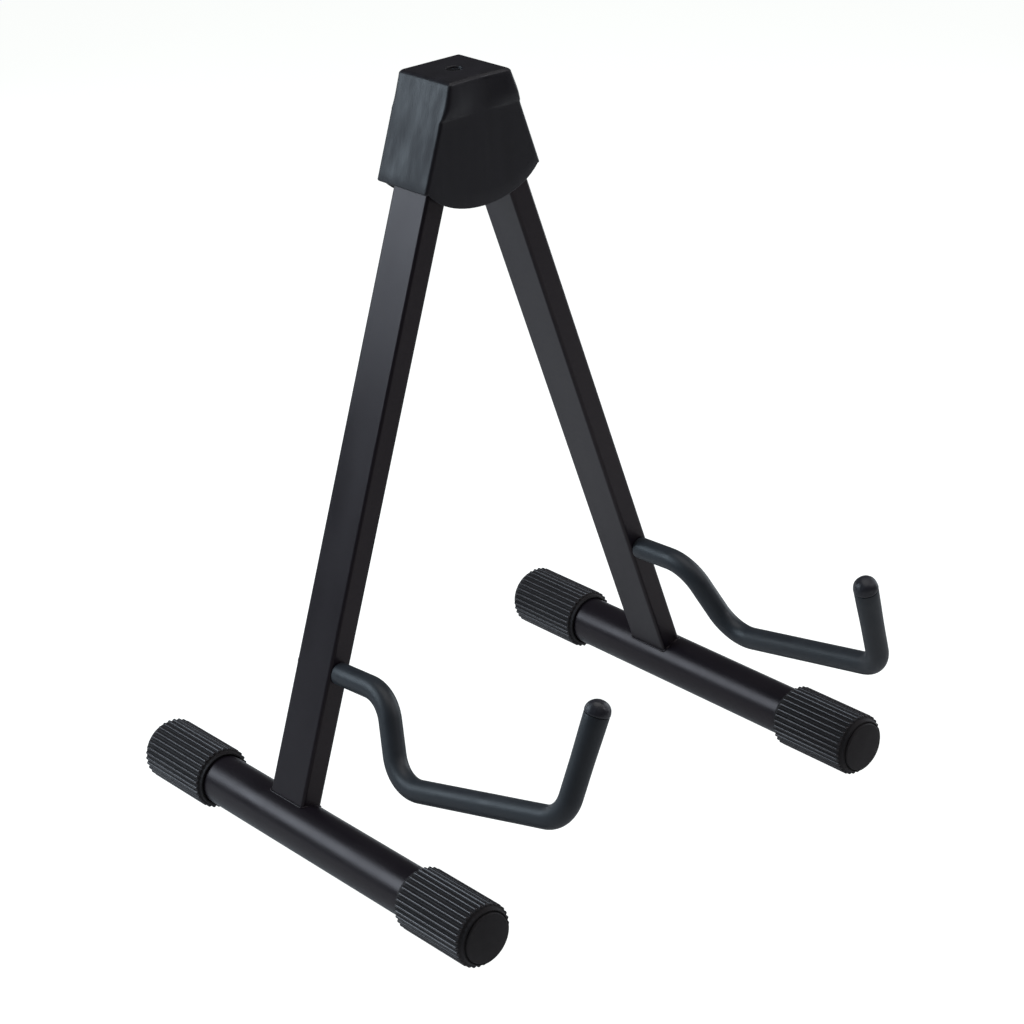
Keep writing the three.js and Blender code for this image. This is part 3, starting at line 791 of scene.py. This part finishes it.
def cover_screw():
    """A domed screw head with a cross recess, and its threaded shank."""
    low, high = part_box("cover_screw")
    middle = box_middle("cover_screw")
    seat = HEAD_TOP - RECESS_DEPTH + SCREW_CLEARANCE
    rim = seat + SCREW_EDGE
    head = (high.x - low.x) / 2
    profile = [(low.z + SCREW_POINT, SCREW_SHANK - SCREW_POINT)]
    z = low.z + 2 * SCREW_POINT
    while z < seat - SCREW_NECK:
        profile += [(z, SCREW_SHANK), (z + THREAD_FLANK, SCREW_SHANK - THREAD_DEPTH),
                    (z + 2 * THREAD_FLANK, SCREW_SHANK)]
        z += THREAD_PITCH
    profile += [(seat, SCREW_SHANK), (seat, head - 0.2 * MM), (rim, head)]
    for step in range(1, SCREW_DOME_STEPS):
        angle = math.pi / 2 * step / SCREW_DOME_STEPS
        profile.append((rim + (high.z - rim) * math.sin(angle), head * math.cos(angle)))
    rings = [[Vector((middle.x, middle.y, low.z + SCREW_POINT))]]
    for z, radius in profile:
        ring = circle(Vector((middle.x, middle.y, z)), ACROSS, Vector((0, 1, 0)), radius, SCREW_SIDES)
        if z > rim:
            for spot in ring:
                x = abs(spot.x - middle.x)
                y = abs(spot.y - middle.y)
                in_cross = (1 - smooth(min(x, y), *CROSS_WIDTH)) * (1 - smooth(max(x, y), *CROSS_REACH))
                spot.z -= CROSS_DEPTH * in_cross
        rings.append(ring)
    rings.append([Vector((middle.x, middle.y, high.z - CROSS_DEPTH))])
    add_piece("cover_screw_head", rings, BLACK_ZINC, "head", ["cover_screw"],
              sharp=math.radians(35))


# ---- Studio ----

def shader_output(tree, kind, **values):
    node = tree.nodes.new(kind)
    for socket, value in values.items():
        node.inputs[socket].default_value = value
    return node.outputs[0]


def set_output(tree, kind, plain, seen):
    """The camera sees one shader directly, and every other ray meets the plain one."""
    ray = tree.nodes.new("ShaderNodeLightPath")
    mix = tree.nodes.new("ShaderNodeMixShader")
    output = tree.nodes.new(kind)
    tree.links.new(ray.outputs["Is Camera Ray"], mix.inputs[0])
    tree.links.new(plain, mix.inputs[1])
    tree.links.new(seen, mix.inputs[2])
    tree.links.new(mix.outputs["Shader"], output.inputs["Surface"])


def studio_floor():
    mesh = bpy.data.meshes.new("floor")
    corners = [(-1, -1), (1, -1), (1, 1), (-1, 1)]
    mesh.from_pydata([(x * FLOOR_REACH, y * FLOOR_REACH, -FLOOR_DROP) for x, y in corners], [],
                     [(0, 1, 2, 3)])
    material = bpy.data.materials.new("floor_white")
    material.use_nodes = True
    tree = material.node_tree
    tree.nodes.clear()
    seen = tree.nodes.new("ShaderNodeAddShader")
    glow = shader_output(tree, "ShaderNodeEmission", Color=BACKGROUND, Strength=0.92)
    matte = shader_output(tree, "ShaderNodeBsdfDiffuse", Color=(0.42, 0.42, 0.42, 1))
    plain = shader_output(tree, "ShaderNodeBsdfDiffuse", Color=(0.86, 0.86, 0.86, 1))
    tree.links.new(glow, seen.inputs[0])
    tree.links.new(matte, seen.inputs[1])
    set_output(tree, "ShaderNodeOutputMaterial", plain, seen.outputs["Shader"])
    mesh.materials.append(material)
    floor = bpy.data.objects.new("floor", mesh)
    scene.collection.objects.link(floor)


def studio_world():
    world = bpy.data.worlds.new("studio")
    scene.world = world
    world.use_nodes = True
    tree = world.node_tree
    tree.nodes.clear()
    room = shader_output(tree, "ShaderNodeBackground", Color=(0.95, 0.97, 1.0, 1), Strength=0.08)
    seen = shader_output(tree, "ShaderNodeBackground", Color=BACKGROUND, Strength=1.0)
    set_output(tree, "ShaderNodeOutputWorld", room, seen)


def softbox(name, place, aim, width, height, power, color):
    light = bpy.data.lights.new(name, "AREA")
    light.shape = "RECTANGLE"
    light.size = width
    light.size_y = height
    light.energy = power
    light.color = color
    lamp = bpy.data.objects.new(name, light)
    lamp.location = place
    lamp.rotation_euler = (Vector(place) - Vector(aim)).to_track_quat("Z", "Y").to_euler()
    lamp.visible_camera = False
    scene.collection.objects.link(lamp)


def studio_camera():
    """Looks from the front left, a little above the head, through a long lens."""
    azimuth = math.radians(-40.1644)
    elevation = math.radians(24.3797)
    roll = math.radians(-2.3539)
    distance = 1.770685
    target = Vector((0.0300747, 0.0509723, 0.1658285))
    back = Vector((math.sin(azimuth) * math.cos(elevation), -math.cos(azimuth) * math.cos(elevation),
                   math.sin(elevation)))
    camera = bpy.data.cameras.new("camera")
    camera.sensor_width = 36
    camera.lens = 98.992
    view = bpy.data.objects.new("camera", camera)
    view.location = target + back * distance
    upright = back.to_track_quat("Z", "Y").to_matrix()
    view.rotation_euler = (upright @ Matrix.Rotation(roll, 3, "Z")).to_euler()
    scene.collection.objects.link(view)
    scene.camera = view


# ---- Assembly ----

studio_camera()
studio_world()
studio_floor()
for settings in LIGHTS:
    softbox(*settings)

for side in SIDES:
    foot(side, "front")
    foot(side, "back")
    rail(side)
    leg(side)
    leg_weld(side)
    arm_weld(side)
    arm_sleeve(side)
    arm_tip(side)
head_cover()
cover_screw()

for part in frame["record"]["subparts"]:
    node = frame["nodes"][part["node"]]
    node.data.materials.clear()
    node.data.materials.append(CAD_FINISH[part["material_slot"]])

scene.view_settings.view_transform = "Standard"
